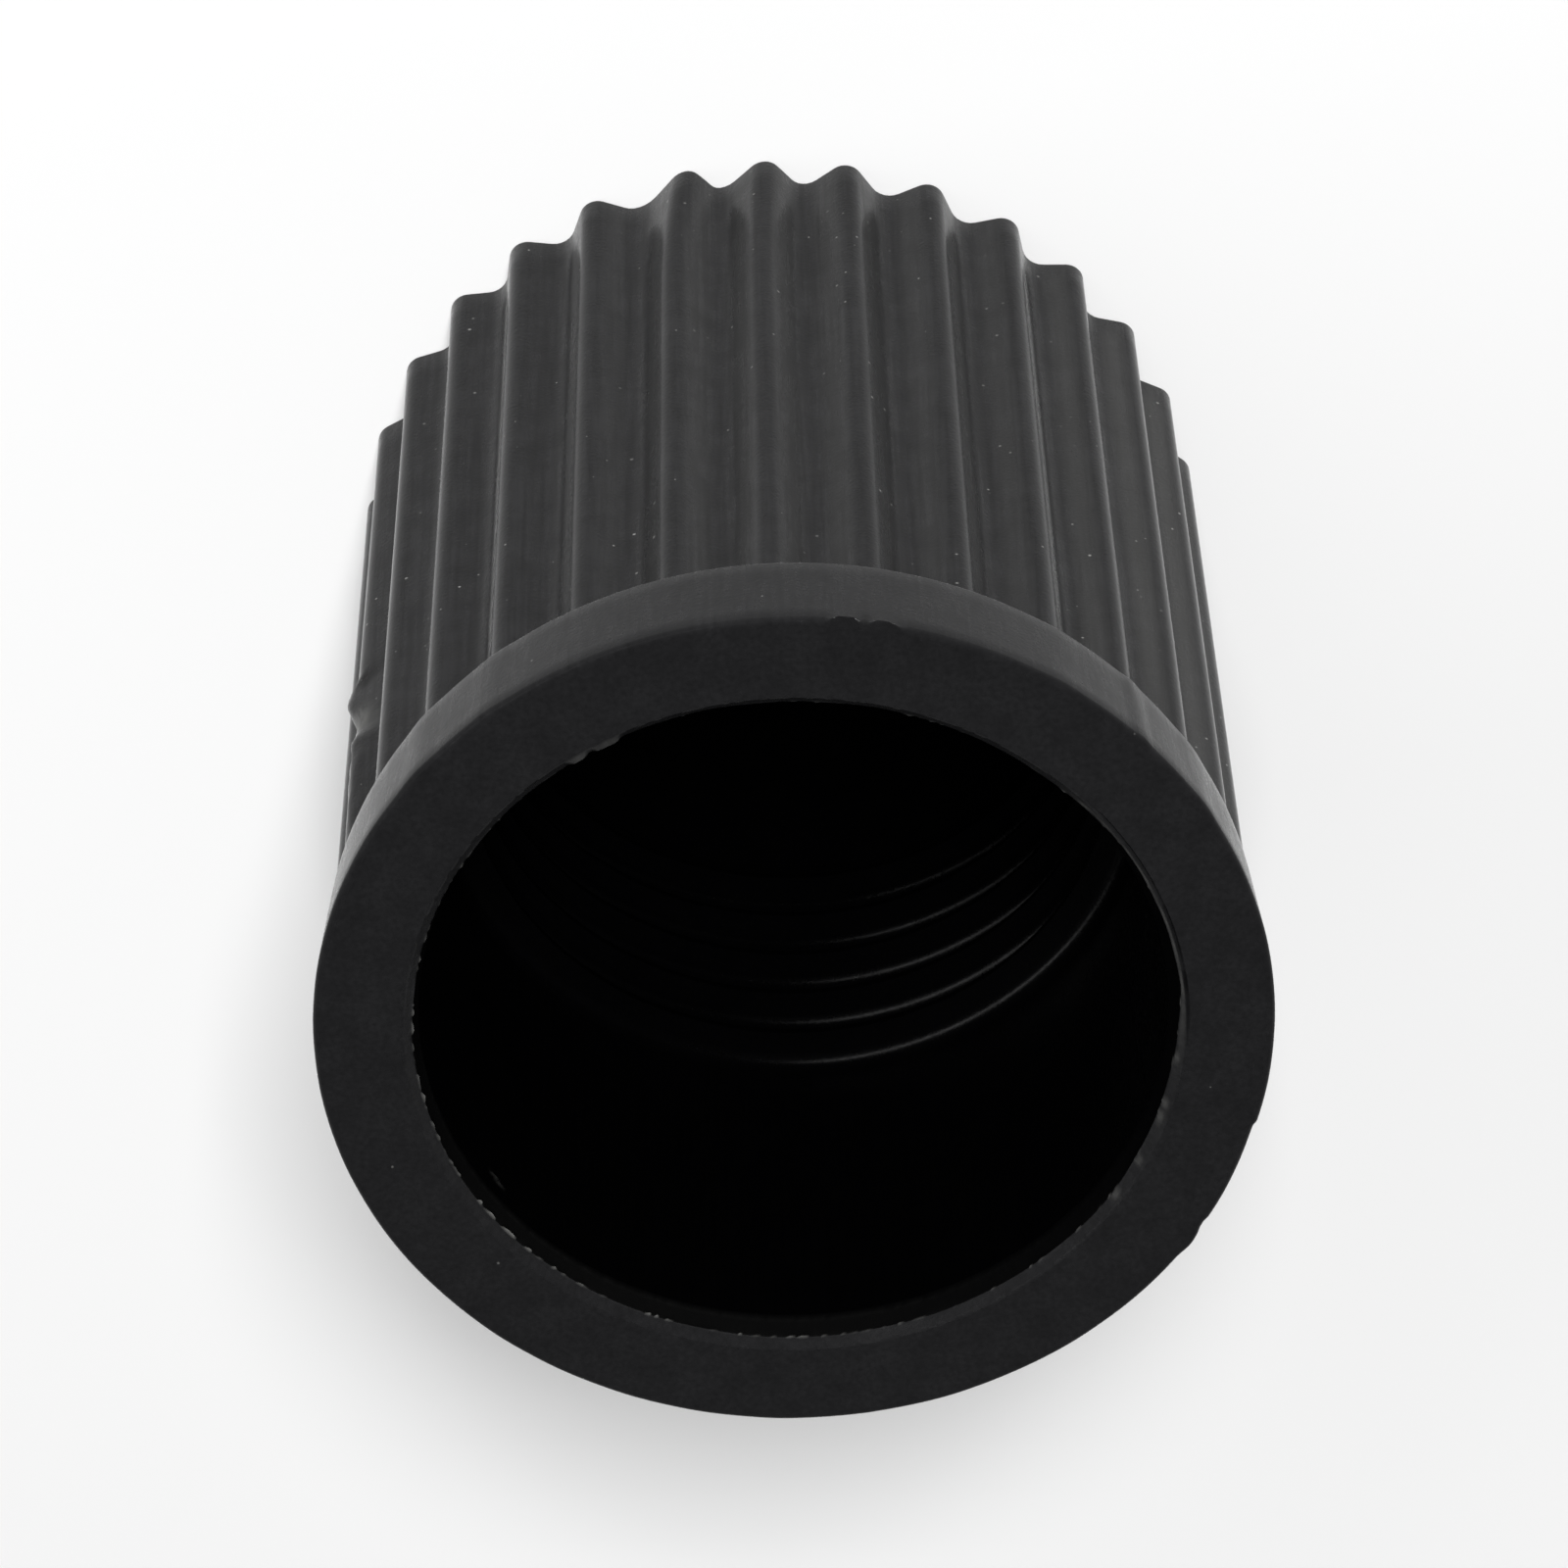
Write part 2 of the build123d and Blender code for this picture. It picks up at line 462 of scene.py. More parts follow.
def collar_rings(sizes, rib_radius, turn):
    """The plain collar, from its rear face to its rim."""
    rear_radius, rear_z = collar_rear(sizes)
    edge = REAR_EDGE * sizes.mouth_edge_round
    made = [ring(rib_radius + 0.5 * (rear_radius - edge - rib_radius), turn, rear_z)]
    for out, up in quarter_round(EDGE_STEPS):
        made.append(ring(rear_radius - edge + edge * out, turn, rear_z + edge * up))
    for part in np.linspace(0, 1, COLLAR_STEPS + 1)[1:-1]:
        height = rear_z + edge + part * (sizes.collar_length - edge - sizes.mouth_edge_round)
        flare = sizes.collar_flare * (height - rear_z) / sizes.collar_length
        made.append(ring(rear_radius + flare, turn, height))
    edge = sizes.mouth_edge_round
    for out, up in quarter_round(MOUTH_EDGE_STEPS):
        made.append(ring(sizes.mouth_radius - edge * up, turn, sizes.height - edge + edge * out))
    return made


def face_rings(sizes, turn):
    """The mouth face and the bevel at its inner edge."""
    outside = sizes.mouth_radius - sizes.mouth_edge_round
    inside = sizes.counterbore_radius + sizes.taper + sizes.edge_break
    made = [ring(outside + part * (inside - outside), turn, sizes.height) for part in FACE_RINGS]
    for part in BEVEL_RINGS:
        bevel = part * sizes.edge_break
        made.append(ring(inside - bevel, turn, sizes.height - bevel))
    return made


def lip_rings(sizes, turn):
    """The short taper below the mouth's inner edge."""
    edge_radius = sizes.counterbore_radius + sizes.taper
    edge_z = sizes.height - sizes.edge_break
    return [ring(edge_radius - part * sizes.taper, turn, edge_z - part * (edge_z - sizes.taper_start))
            for part in TAPER_RINGS]


def bore_rings(sizes, turn):
    """The plain wall of the bore, with closer rings and more points near the mouth."""
    return [ring(sizes.counterbore_radius, turn[::step], sizes.taper_start - depth * MM)
            for step, depths in ((1, NEAR_BORE_RINGS), (2, DEEP_BORE_RINGS)) for depth in depths]


def thread_rings(sizes, turn):
    """Rings that rise with the thread and fall back just before its seam, then the floor's rings."""
    around = seam_share(sizes, turn)
    rise = sizes.thread_pitch * np.minimum(around, (1 - SEAM_STRETCH) * (1 - around) / SEAM_STRETCH)
    steps = thread_section(sizes)[0][:-1]
    deepest = sizes.thread_top - sizes.bore_floor
    turns = math.ceil(deepest / sizes.thread_pitch)
    downs = (steps + sizes.thread_pitch * np.arange(turns)[:, None]).ravel()
    made = []
    for down in downs[downs < deepest - RING_GAP]:
        height = sizes.thread_top - down + rise
        made.append(ring(thread_radius_at(sizes, turn, height), turn, height))
    made += [ring(part * sizes.thread_radius, turn[::step], sizes.bore_floor) for step, part in FLOOR_RINGS]
    return made


def cap_rings(sizes):
    """The cap's skin as named zones of rings, from the middle of the head out, up, in and down the bore."""
    rib_radius, turn = ribs_at(sizes, collar_rear(sizes)[1])
    return {
        "head": head_rings(sizes),
        "barrel": barrel_rings(sizes),
        "collar": collar_rings(sizes, rib_radius, turn),
        "face": face_rings(sizes, turn),
        "lip": lip_rings(sizes, turn),
        "bore": bore_rings(sizes, turn),
        "thread": thread_rings(sizes, turn[::2]),
    }


def skin_faces(rings):
    """Faces between neighbouring rings, and one face each that closes the first and the last ring.

    Neighbours have as many points as each other, or one has twice as many as the other.
    """
    faces = []
    start = 0
    for low, high in zip(rings, rings[1:]):
        top = start + len(low)
        lower = [*range(start, top), start]
        upper = [*range(top, top + len(high)), top]
        for i in range(min(len(low), len(high))):
            if len(low) == len(high):
                faces.append((lower[i], lower[i + 1], upper[i + 1], upper[i]))
            elif len(low) == 2 * len(high):
                first, middle, last = lower[2 * i:2 * i + 3]
                left, right = upper[i:i + 2]
                faces += [(first, middle, left), (middle, right, left), (middle, last, right)]
            elif len(high) == 2 * len(low):
                left, right = lower[i:i + 2]
                first, middle, last = upper[2 * i:2 * i + 3]
                faces += [(left, middle, first), (left, right, middle), (right, last, middle)]
            else:
                raise ValueError("neighbouring rings don't match")
        start = top
    faces.append(tuple(range(len(rings[0])))[::-1])
    faces.append(tuple(range(start, start + len(rings[-1]))))
    return faces


def rib_share(points, sizes):
    """How high on a rib each point lies, from 0 in the middle of a valley to 1 on a crest."""
    pitch = points[:, 1] * sizes.rib_count / (2 * math.pi)
    return 1 - 2 * np.abs(pitch - np.round(pitch))


def paint_flank_light(points, sizes):
    """Painted light on the flanks of the ribs, on two broad sides of the barrel, in the dust colour.
    Returns how much there is.
    """
    flank = window(rib_share(points, sizes), FLANK_LIGHT_MIDDLE, FLANK_LIGHT_SPREAD)
    return flank * sum(amount * side_window(points[:, 1], direction, half_width)
                       for direction, half_width, amount in FLANK_LIGHT_SIDES)


def lump(across, height, shape):
    """A lump of flash on a rib: 1 on it and 0 away from it."""
    width = window(across, shape["middle"], LUMP_WIDTH)
    return width * ramp(height, *shape["foot"]) * ramp(height, *shape["top"])


def mash_rib(points):
    """Flash on one rib, mashed into two lumps with a pale hollow between them. Returns how torn it is."""
    across = turned_from(points[:, 1], MASHED_RIB)
    height = points[:, 2] / MM
    lower = lump(across, height, LOWER_LUMP)
    upper = lump(across, height, UPPER_LUMP)
    hollow = window(across, HOLLOW_MIDDLE, HOLLOW_WIDTH) * window(height, HOLLOW_HEIGHT, HOLLOW_REACH)
    ragged = ragged_patch(across, height, (1, 3), seed=7.0)
    points[:, 0] += LOWER_PROUD * lower + UPPER_PROUD * upper - HOLLOW_DEPTH * hollow
    points[:, 0] += LUMP_RAGGED * ragged * (lower + upper)
    points[:, 1] += LUMP_LEAN * (lower - 0.5 * upper)
    # The hollow is pale in a crazed pattern, and the lower lump only a little.
    crazing = ragged_patch(across, height, (2, 8), seed=5.0)
    return np.clip(hollow * (0.75 + 1.2 * crazing) + 0.04 * lower, 0, 1)


def lean_ribs(points):
    """Two rib ends that lean at the head."""
    turn = points[:, 1].copy()
    fade = np.clip(1 - points[:, 2] / LEAN_HEIGHT, 0, 1) ** 2
    for direction, lean in LEANING_RIBS:
        points[:, 1] -= np.radians(lean) * side_window(turn, direction, LEAN_WIDTH) * fade


def ghost_ribs(points):
    """Rib crests that show through the collar as faint swellings, one of them as a crease."""
    for direction, half_width, swell in GHOST_RIBS:
        points[:, 0] += swell * side_window(points[:, 1], direction, half_width)


def nick_rim(points, sizes):
    """A dent, a notch and a bump in the mouth's outer edge, and two scallops of flash on its rim."""
    turn, below = points[:, 1], sizes.height - points[:, 2]
    degrees = np.degrees(turn)
    near_rim = np.clip(1 - below / RIM_REACH, 0, 1)
    dent = np.clip((DENT_END - degrees) / DENT_STEP, 0, 1)
    dent = dent * np.clip((degrees - DENT_START) / DENT_GROWTH, 0, 1)
    notch = side_window(turn, *NOTCH)
    bump = side_window(turn, *BUMP)
    points[:, 0] += near_rim * (BUMP_HEIGHT * bump - DENT_DEPTH * dent - NOTCH_DEPTH * notch)
    scallops = side_windows(turn, SCALLOPS) * np.clip(1 - below / SCALLOP_THICKNESS, 0, 1)
    points[:, 0] += SCALLOP_REACH * scallops
    points[:, 0] += near_rim * RIM_RAGGED * (roughen(turn, 7, seed=2.0) - 1)


def fray_edge(points, sizes):
    """A thin burr on the worn side of the inner edge, pale partly from stressed plastic and partly as a
    painted highlight, with a gap outside it, and two tabs of flash.

    Returns how torn each point is, with the painted highlight on the burr included.
    """
    turn = points[:, 1]
    out = points[:, 0] - (sizes.counterbore_radius + sizes.taper + sizes.edge_break)
    worn = side_window(turn, *WORN_SIDE)
    ragged = 0.9 + 0.8 * roughen(turn, 4, seed=8.0) + 0.5 * roughen(turn, 1.2, seed=9.0)
    burr = np.clip(worn * ragged, 0, 1.5)
    bits = side_windows(turn, PALE_BITS)
    tabs = side_windows(turn, FLASH_TABS) * np.clip(-out / TAB_SLOPE, 0, 1)
    shrink = WORN_AWAY * worn * np.clip(-out, 0, None)
    points[:, 0] += shrink - TAB_REACH * tabs
    points[:, 2] += shrink + TAB_LIFT * tabs * (sizes.height - points[:, 2])
    points[:, 2] -= BURR_GAP_DEPTH * np.clip(burr, 0, 1) * window(out, BURR_GAP_WIDTH, BURR_GAP_WIDTH)
    # The burr and the bits are pale on the bevel only; the burr's paleness is partly a painted highlight.
    pale = BURR_PALE_AND_HIGHLIGHT * burr * window(out, centre=-0.05 * MM, half_width=0.06 * MM)
    pale += BITS_PALE * bits * window(out, centre=-0.07 * MM, half_width=0.05 * MM)
    return np.clip(pale + TABS_PALE * tabs * ragged, 0, 1)


def tear_lip(points, sizes):
    """Fine torn specks along the inner edge, most of them on one side, where the taper is painted a little
    paler as a painted reflection, with a painted highlight along its lower end.

    Returns how torn each point is, with the painted reflection and highlight on the taper included.
    """
    turn, height = points[:, 1], points[:, 2].copy()
    coarse = roughen(turn, 9, seed=3.0)
    fine = roughen(turn, 0.9, seed=4.0)
    edge = window(sizes.height - height, sizes.edge_break, SPECK_HEIGHT)
    # Specks stand on the peaks of the fine wave: on one side they are more, longer and stronger.
    side = side_window(turn, *SPECKED_SIDE)
    specks = np.clip(7 * fine + 1.5 * coarse - 1.3 + 1.2 * side, 0, 1) * (0.3 + 0.7 * side)
    specks = np.clip(specks * (0.7 + 1.2 * roughen(turn, 2.5, seed=11.0)), 0, 1)
    # The taper follows the worn edge above it, less and less towards its lower end.
    edge_z = sizes.height - sizes.edge_break
    upper_share = 1 - (edge_z - height) / (edge_z - sizes.taper_start)
    worn = WORN_AWAY * sizes.edge_break * side_window(turn, *WORN_SIDE) * upper_share
    points[:, 0] += worn + (EDGE_RAGGED * coarse - SPECK_PROUD * specks) * edge
    points[:, 2] += worn
    # Painted reflection on the taper's paler side, and a painted highlight along its lower end.
    taper_end = window(height, sizes.taper_start, TAPER_END_HEIGHT)
    pale = TAPER_PAINTED_REFLECTION + (TAPER_END_PAINTED_HIGHLIGHT + TAPER_END_RAGGED * fine) * taper_end
    return np.clip(specks * edge + pale * side_window(turn, *TAPER_PAINTED_LIGHT_SIDE), 0, 1)


def crumb(points, sizes):
    """A thin streak of flash stuck to the bore's wall. Returns how pale it is."""
    along = turned_from(points[:, 1], STREAK_SIDE)
    depth = (sizes.height - points[:, 2]) / MM
    middle = STREAK_DEPTH - STREAK_RISE * along
    streak = window(along, 0, STREAK_LENGTH) * window(depth, middle, STREAK_WIDTH)
    points[:, 0] -= STREAK_PROUD * streak
    return STREAK_PALE * streak


def mark_zones(points, sizes):
    """Put the cap's faults, and the painted light on its rib flanks and at its inner edge, into the points
    of its zones. Returns the finish's masks, each by zone.
    """
    masks = {
        name: {zone: np.full(len(held), value) for zone, held in points.items()}
        for name, value in (("torn_and_painted_light", 0.0), ("rib", PLAIN_ZONE), ("painted_flank_light", 0.0))
    }
    masks["rib"]["barrel"] = rib_share(points["barrel"], sizes)
    masks["painted_flank_light"]["barrel"] = paint_flank_light(points["barrel"], sizes)
    lean_ribs(points["head"])
    lean_ribs(points["barrel"])
    masks["torn_and_painted_light"]["barrel"] = mash_rib(points["barrel"])
    ghost_ribs(points["collar"])
    nick_rim(points["collar"], sizes)
    masks["torn_and_painted_light"]["face"] = fray_edge(points["face"], sizes)
    masks["torn_and_painted_light"]["lip"] = tear_lip(points["lip"], sizes)
    masks["torn_and_painted_light"]["bore"] = crumb(points["bore"], sizes)
    return masks


def body_mesh(sizes, finish):
    """The whole cap as one closed mesh, with its finishes and the masks that they read."""
    zones = cap_rings(sizes)
    points = {name: np.concatenate(zone) for name, zone in zones.items()}
    masks = mark_zones(points, sizes)
    radius, turn, height = np.concatenate(list(points.values())).T
    places = np.stack([radius * np.cos(turn), radius * np.sin(turn), height], axis=1)
    rings = [one for zone in zones.values() for one in zone]

    mesh = bpy.data.meshes.new("cap_body")
    mesh.from_pydata(places.tolist(), [], skin_faces(rings))
    mesh.shade_smooth()
    mesh.set_sharp_from_angle(angle=SHARP_EDGE)
    for name, shares in masks.items():
        mask = mesh.attributes.new(name, "FLOAT", "POINT")
        mask.data.foreach_set("value", np.concatenate(list(shares.values())))
    for material in cap_finishes(finish):
        mesh.materials.append(material)
    finishes = np.concatenate([np.full(len(held), ZONE_FINISH[zone]) for zone, held in points.items()])
    for face in mesh.polygons:
        face.material_index = int(finishes[min(face.vertices)])
    return mesh


def node(tree, kind, inputs=None, **settings):
    """Add a shader node, set its properties and fill its inputs from values or other nodes' sockets."""
    made = tree.nodes.new("ShaderNode" + kind)
    for name, value in settings.items():
        setattr(made, name, value)
    for name, value in (inputs or {}).items():
        if isinstance(value, bpy.types.NodeSocket):
            tree.links.new(value, made.inputs[name])
        else:
            made.inputs[name].default_value = value
    return made


def math_node(tree, operation, *values):
    """Output of a Math node on values or sockets."""
    return node(tree, "Math", dict(enumerate(values)), operation=operation).outputs[0]


def map_range(tree, value, old, new):
    """Output of a Map Range node that takes an old range of a value to a new one."""
    return node(tree, "MapRange", dict(enumerate((value, *old, *new)))).outputs[0]


def mix_colour(tree, factor, first, second, blend="MIX"):
    """Output of a Mix node, whose inputs 0, 6 and 7 are its factor and its two colours."""
    inputs = {0: factor, 6: first, 7: second}
    return node(tree, "Mix", inputs, data_type="RGBA", blend_type=blend).outputs[2]


def effect_group(name, inputs, outputs):
    """An empty shader node group with named float sockets, its input sockets and its output node."""
    tree = bpy.data.node_groups.new(name, "ShaderNodeTree")
    for socket, default in inputs.items():
        made = tree.interface.new_socket(name=socket, in_out="INPUT", socket_type="NodeSocketFloat")
        made.default_value = default
    for socket in outputs:
        tree.interface.new_socket(name=socket, in_out="OUTPUT", socket_type="NodeSocketFloat")
    return tree, tree.nodes.new("NodeGroupInput").outputs, tree.nodes.new("NodeGroupOutput")


def grain_group():
    """Fine moulded grain: a height for bump and a broad tone, nine times as coarse."""
    tree, given, result = effect_group("Mould grain", {"Size": 0.05 * MM}, ("Height", "Tone"))
    place = node(tree, "TexCoord").outputs["Object"]
    scale = math_node(tree, "DIVIDE", 1.0, given["Size"])
    broad = math_node(tree, "DIVIDE", scale, 9.0)
    fine = node(tree, "TexNoise", {"Vector": place, "Scale": scale, "Detail": 3.0, "Roughness": 0.65})
    tone = node(tree, "TexNoise", {"Vector": place, "Scale": broad, "Detail": 4.0, "Roughness": 0.7})
    tree.links.new(fine.outputs[0], result.inputs["Height"])
    tree.links.new(tone.outputs[0], result.inputs["Tone"])
    return tree


def dust_group():
    """Sparse specks of dust, as a mask. Each speck has a size and a strength of its own.

    Spacing is the size of a cell that may hold a speck, Amount the share of cells that do, and Radius the
    reach of a speck in its cell.
    """
    inputs = {"Spacing": 0.22 * MM, "Amount": 0.3, "Radius": 0.085}
    tree, given, result = effect_group("Dust specks", inputs, ("Mask",))
    place = node(tree, "TexCoord").outputs["Object"]
    scale = math_node(tree, "DIVIDE", 1.0, given["Spacing"])
    cells = node(tree, "TexVoronoi", {"Vector": place, "Scale": scale})
    chance = node(tree, "SeparateColor", {"Color": cells.outputs["Color"]})
    kept = math_node(tree, "LESS_THAN", chance.outputs[0], given["Amount"])
    reach = math_node(tree, "MULTIPLY", given["Radius"], math_node(tree, "ADD", chance.outputs[1], 0.4))
    near = math_node(tree, "SUBTRACT", 1.0, math_node(tree, "DIVIDE", cells.outputs["Distance"], reach))
    soft = node(tree, "Clamp", {0: math_node(tree, "MULTIPLY", near, 2.0)}).outputs[0]
    faint = math_node(tree, "MULTIPLY", soft, chance.outputs[2])
    tree.links.new(math_node(tree, "MULTIPLY", faint, kept), result.inputs["Mask"])
    return tree


def streak_group():
    """Faint drag marks along the cap's axis, left as it came out of its mould."""
    tree, given, result = effect_group("Drag marks", {"Width": 0.06 * MM, "Length": 2 * MM}, ("Tone",))
    place = node(tree, "TexCoord").outputs["Object"]
    across = math_node(tree, "DIVIDE", 1.0, given["Width"])
    along = math_node(tree, "DIVIDE", 1.0, given["Length"])
    stretch = node(tree, "CombineXYZ", {"X": across, "Y": across, "Z": along}).outputs[0]
    stretched = node(tree, "VectorMath", {0: place, 1: stretch}, operation="MULTIPLY").outputs[0]
    marks = node(tree, "TexNoise", {"Vector": stretched, "Scale": 1.0, "Detail": 2.0, "Roughness": 0.6})
    tree.links.new(marks.outputs[0], result.inputs["Tone"])
    return tree


def plastic(name, groups, finish, tint, roughness, specular, sheen, dust, bump, mottle):
    """Moulded plastic with grain, drag marks, dust, painted light on the rib flanks, pale torn edges with
    painted highlights at the mouth's inner edge, and smoother crests.
    """
    material = bpy.data.materials.new(name)
    material.use_nodes = True
    tree = material.node_tree
    shader = tree.nodes["Principled BSDF"]
    grain = node(tree, "Group", node_tree=groups["grain"])
    grain.inputs["Size"].default_value = finish.grain
    specks = node(tree, "Group", node_tree=groups["dust"])
    specks.inputs["Amount"].default_value = dust
    streaks = node(tree, "Group", node_tree=groups["streak"])
    torn_and_painted_light, rib, painted_flank_light = (node(tree, "Attribute", attribute_name=mask).outputs["Fac"]
                       for mask in ("torn_and_painted_light", "rib", "painted_flank_light"))

    tone = math_node(tree, "MULTIPLY", grain.outputs["Tone"], streaks.outputs["Tone"])
    level = map_range(tree, tone, COLOUR_TONES, (1 - mottle, 1 + mottle))
    base = mix_colour(tree, 1.0, (*tint, 1), level, "MULTIPLY")
    # Painted light: the rib flanks are mixed towards the dust colour.
    base = mix_colour(tree, painted_flank_light, base, (*finish.dust, 1))
    # Pale torn flash, together with the painted highlights and painted reflection at the mouth's inner
    # edge.
    base = mix_colour(tree, torn_and_painted_light, base, (*finish.torn_and_painted_light, 1))
    base = mix_colour(tree, specks.outputs["Mask"], base, (*finish.dust, 1))
    tree.links.new(base, shader.inputs["Base Color"])

    swing = (roughness + ROUGHNESS_SWING, roughness - ROUGHNESS_SWING)
    rough = map_range(tree, tone, ROUGHNESS_TONES, swing)
    rougher = math_node(tree, "ADD", rough, math_node(tree, "MULTIPLY", torn_and_painted_light, TORN_ROUGHNESS))
    polish = map_range(tree, rib, POLISHED_RIB, (0.0, CREST_POLISH))
    tree.links.new(math_node(tree, "SUBTRACT", rougher, polish), shader.inputs["Roughness"])

    height = grain.outputs["Height"]
    relief = node(tree, "Bump", {"Height": height, "Strength": bump, "Distance": BUMP_DEPTH})
    tree.links.new(relief.outputs[0], shader.inputs["Normal"])
    shader.inputs["Specular IOR Level"].default_value = specular
    shader.inputs["Sheen Weight"].default_value = sheen
    shader.inputs["Sheen Roughness"].default_value = SHEEN_ROUGHNESS
    return material


def cap_finishes(finish):
    """The cap's finishes, in the order that ZONE_FINISH counts them."""
    groups = {"grain": grain_group(), "dust": dust_group(), "streak": streak_group()}
    outside = {"groups": groups, "finish": finish, "tint": finish.skin, "roughness": finish.roughness,
               "bump": 0.35}
    inside = {"groups": groups, "finish": finish, "sheen": 0.0, "dust": 0.0, "bump": 0.15, "mottle": 0.2}
    return (
        plastic("matte_black_skin", specular=0.06, sheen=0.07, dust=0.8, mottle=0.4, **outside),
        plastic("matte_black_collar", specular=0.065, sheen=0.1, dust=0.06, mottle=0.2, **outside),
        plastic("matte_black_face", specular=0.06, sheen=0.0, dust=0.05, mottle=0.2, **outside),
        # Painted shade: the lip and the bore take the dark lip and bore colours in place of the shade
        # inside the mouth.
        plastic("smooth_painted_shade_lip", tint=finish.lip, roughness=0.3, specular=0.05, **inside),
        plastic("painted_shade_bore", tint=finish.bore, roughness=0.25, specular=0.2, **inside),
    )


def picture_axes(settings):
    """Level directions towards the picture's right and top."""
    top = Vector((math.cos(settings.view_turn), math.sin(settings.view_turn), 0))
    return top.cross(UP), top


def build_floor(context, settings):
    """A wide pale floor under the head, which keeps its shadow and glows a little to the eye."""
    mesh = bpy.data.meshes.new("floor")
    corners = [(x * FLOOR_HALF, y * FLOOR_HALF, -FLOOR_DROP)
               for x, y in ((-1, -1), (1, -1), (1, 1), (-1, 1))]
    mesh.from_pydata(corners, [], [(0, 1, 2, 3)])
    floor = bpy.data.objects.new("floor", mesh)
    context.scene.collection.objects.link(floor)
    material = bpy.data.materials.new("pale_floor")
    material.use_nodes = True
    tree = material.node_tree
    shader = tree.nodes["Principled BSDF"]
    shader.inputs["Base Color"].default_value = (*settings.floor, 1)
    shader.inputs["Roughness"].default_value = FLOOR_ROUGHNESS
    shader.inputs["Specular IOR Level"].default_value = 0.0
    path = node(tree, "LightPath").outputs
    seen = math_node(tree, "MAXIMUM", path["Is Camera Ray"], path["Is Glossy Ray"])
    seen = math_node(tree, "MAXIMUM", seen, path["Is Transmission Ray"])
    glow = node(tree, "Emission", {"Strength": math_node(tree, "MULTIPLY", seen, FLOOR_GLOW)})
    both = node(tree, "AddShader", {0: shader.outputs[0], 1: glow.outputs[0]})
    tree.links.new(both.outputs[0], tree.nodes["Material Output"].inputs["Surface"])
    mesh.materials.append(material)


def build_world(context, settings):
    """A studio surround, bright at the sides and dim overhead."""
    world = bpy.data.worlds.new("studio")
    context.scene.world = world
    world.use_nodes = True
    tree = world.node_tree
    place = node(tree, "TexCoord").outputs["Generated"]
    rise = node(tree, "SeparateXYZ", {0: place}).outputs["Z"]
    dimmer = node(tree, "ValToRGB", {0: rise})
    low, high = dimmer.color_ramp.elements
    low.position = HORIZON_RISE
    low.color = (*settings.horizon, 1)
    high.position = ZENITH_RISE
    high.color = (*settings.zenith, 1)
    tree.links.new(dimmer.outputs[0], tree.nodes["Background"].inputs["Color"])


def area_light(context, name, energy, towards, along, distance, size, mirrored):
    """A rectangular lamp that faces the cap's foot from a direction, with its first side along another."""
    data = bpy.data.lights.new(name, "AREA")
    data.energy = energy
    data.shape = "RECTANGLE"
    data.size, data.size_y = size
    lamp = bpy.data.objects.new(name, data)
    context.scene.collection.objects.link(lamp)
    back = towards.normalized()
    side = (along - along.dot(back) * back).normalized()
    turned = Matrix((side, back.cross(side), back)).transposed().to_4x4()
    lamp.matrix_world = Matrix.Translation(back * distance) @ turned
    lamp.visible_glossy = mirrored


def build_lights(context, settings):
    """A soft key light, one light above the mouth, and a strip light that looks into the bore.

    Only the strip light shows in reflections.
    """
    right, top = picture_axes(settings)
    area_light(context, "key_light", settings.key_power, towards=top + 0.08 * right + 1.33 * UP,
               along=right, distance=0.25, size=(0.05, 0.05), mirrored=False)
    area_light(context, "top_light", settings.top_power, towards=UP + 0.36 * top,
               along=right, distance=0.2, size=(0.015, 0.015), mirrored=False)
    area_light(context, "strip_light", settings.strip_power,
               towards=-0.548 * right + 0.384 * top + 0.743 * UP,
               along=0.574 * right + 0.819 * top, distance=0.2, size=(0.28, 0.03), mirrored=True)


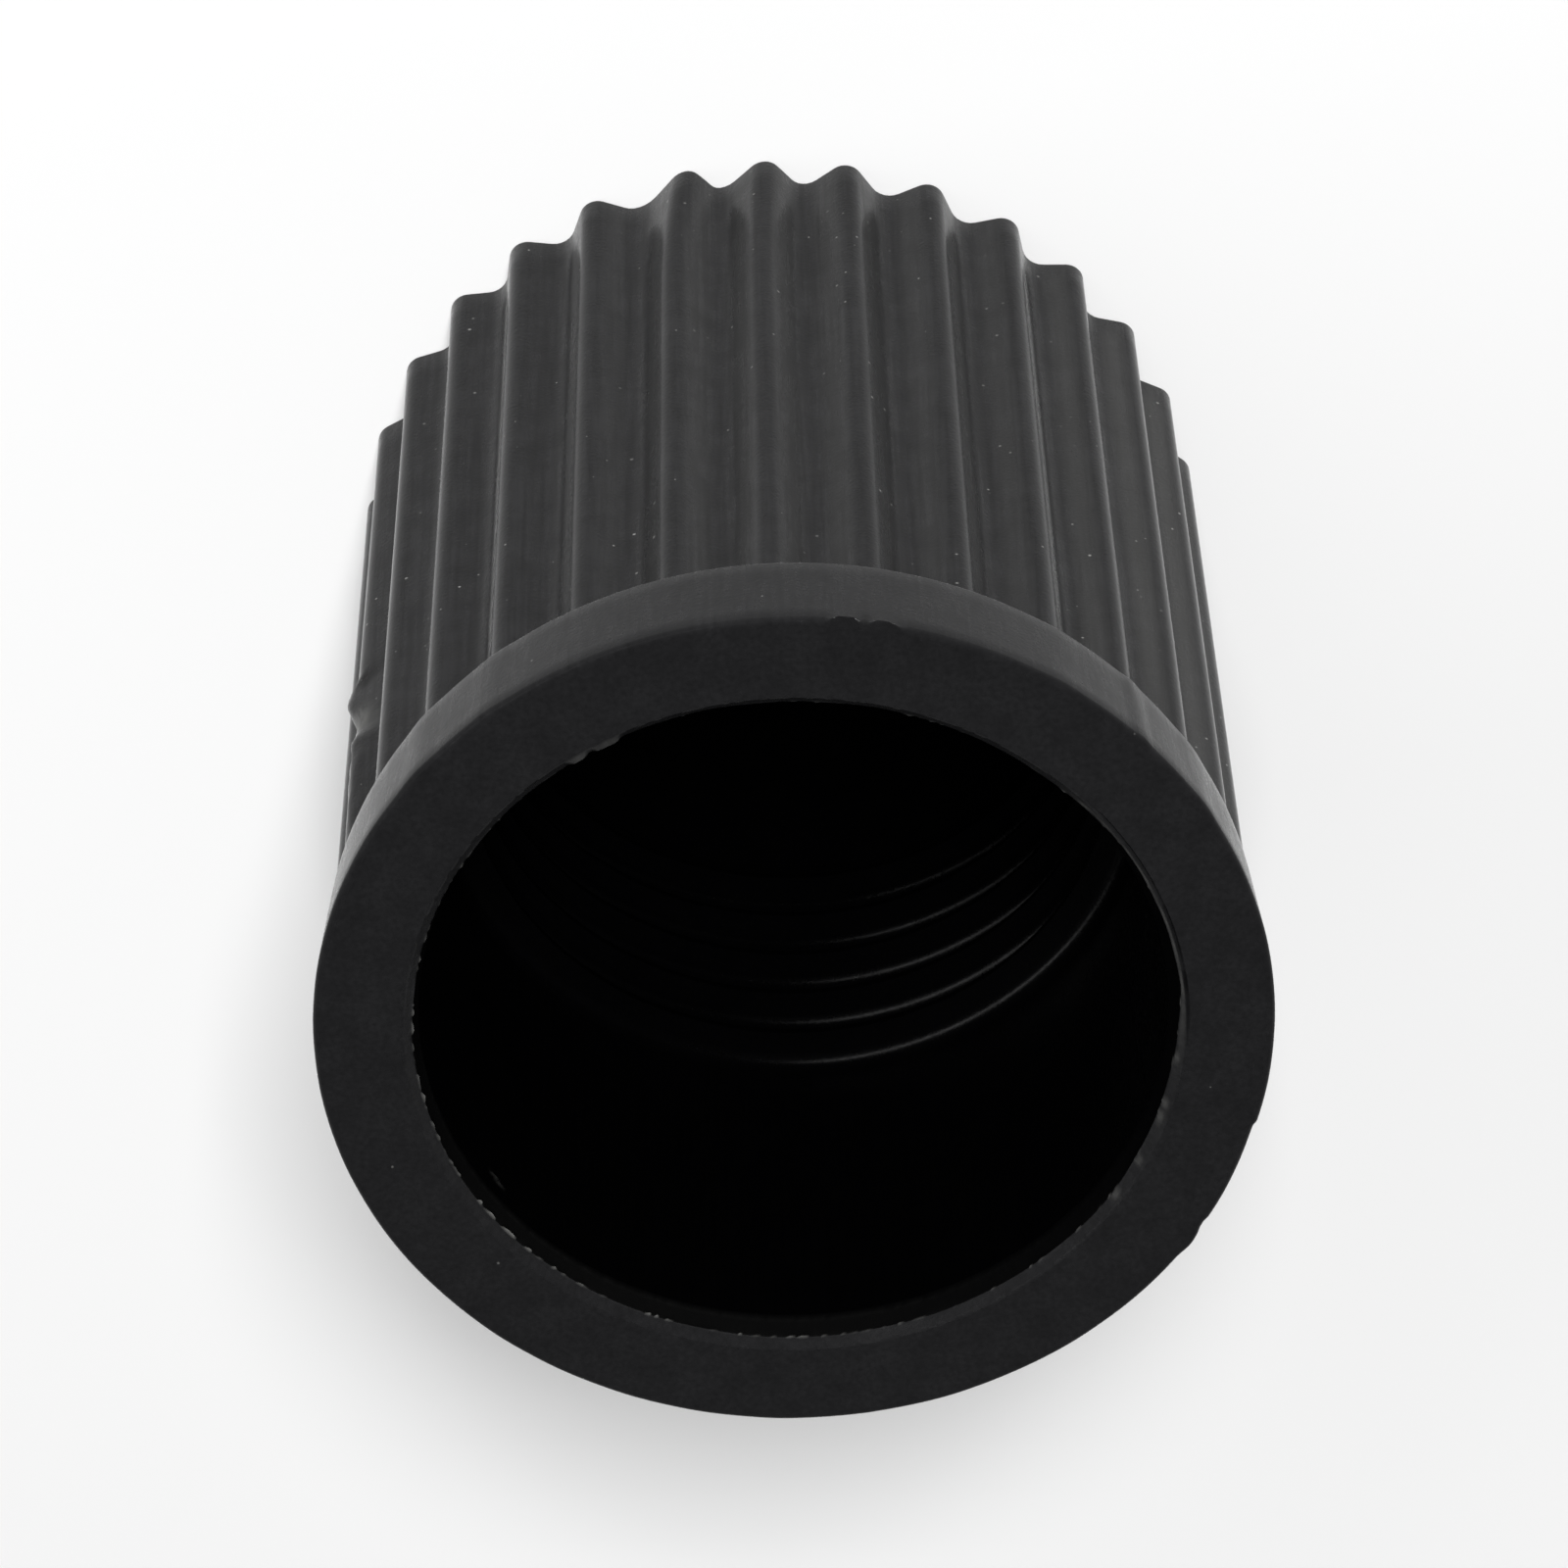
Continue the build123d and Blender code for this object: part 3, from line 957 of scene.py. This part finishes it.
def build_camera(context, settings):
    """The camera, looking into the mouth from the side that the picture shows at its top."""
    right, top = picture_axes(settings)
    back = top * math.sin(settings.view_tilt) + UP * math.cos(settings.view_tilt)
    aimed = Matrix((right, back.cross(right), back)).transposed()
    aimed = aimed @ Matrix.Rotation(-settings.view_roll, 3, "Z")
    offset = (MOUTH_PIXEL - Vector((PICTURE / 2, PICTURE / 2))) / FOCAL_PIXELS
    mouth_ray = Vector((offset.x, -offset.y, -1)).normalized()
    turned = aimed @ mouth_ray.rotation_difference(-UP).to_matrix()
    data = bpy.data.cameras.new("camera")
    camera = bpy.data.objects.new("camera", data)
    context.scene.collection.objects.link(camera)
    mouth = UP * context.scene.valve_cap_sizes.height
    camera.matrix_world = Matrix.Translation(mouth + back * settings.distance) @ turned.to_4x4()
    data.sensor_width = SENSOR
    data.lens = FOCAL_PIXELS / PICTURE * SENSOR
    data.clip_start = 1 * MM
    data.clip_end = 10.0
    context.scene.camera = camera


class VALVECAP_OT_body(Operator):
    """Build the moulded cap: ribbed barrel, collar, mouth and threaded bore"""

    bl_idname = "valve_cap.body"
    bl_label = "Moulded body"

    def execute(self, context):
        mesh = body_mesh(context.scene.valve_cap_sizes, context.scene.valve_cap_finish)
        body = bpy.data.objects.new("cap_body", mesh)
        context.scene.collection.objects.link(body)
        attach(body, "root")
        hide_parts(NODE)
        return {"FINISHED"}


class VALVECAP_OT_stage(Operator):
    """Set up the pale floor, the soft light and the camera"""

    bl_idname = "valve_cap.stage"
    bl_label = "Stage"

    def execute(self, context):
        settings = context.scene.valve_cap_stage
        build_floor(context, settings)
        build_world(context, settings)
        build_lights(context, settings)
        build_camera(context, settings)
        context.scene.view_settings.view_transform = "Standard"
        return {"FINISHED"}


class VALVECAP_PT_sidebar(Panel):
    """Sizes, finish and stage of the valve cap"""

    bl_label = "Valve cap"
    bl_idname = "VALVECAP_PT_sidebar"
    bl_space_type = "VIEW_3D"
    bl_region_type = "UI"
    bl_category = "Valve cap"

    def draw(self, context):
        for operator, groups in ((VALVECAP_OT_body, ("valve_cap_sizes", "valve_cap_finish")),
                                 (VALVECAP_OT_stage, ("valve_cap_stage",))):
            self.layout.operator(operator.bl_idname)
            for group in groups:
                settings = getattr(context.scene, group)
                for name in settings.__annotations__:
                    self.layout.prop(settings, name)


GROUPS = {"valve_cap_sizes": CapSizes, "valve_cap_finish": CapFinish, "valve_cap_stage": StageSettings}
CLASSES = (*GROUPS.values(), VALVECAP_OT_body, VALVECAP_OT_stage, VALVECAP_PT_sidebar)


def register():
    for cls in CLASSES:
        bpy.utils.register_class(cls)
    for name, group in GROUPS.items():
        setattr(bpy.types.Scene, name, PointerProperty(type=group))


def unregister():
    for name in GROUPS:
        delattr(bpy.types.Scene, name)
    for cls in reversed(CLASSES):
        bpy.utils.unregister_class(cls)


def main():
    register()
    bpy.ops.valve_cap.body()
    bpy.ops.valve_cap.stage()


if __name__ == "__main__":
    main()
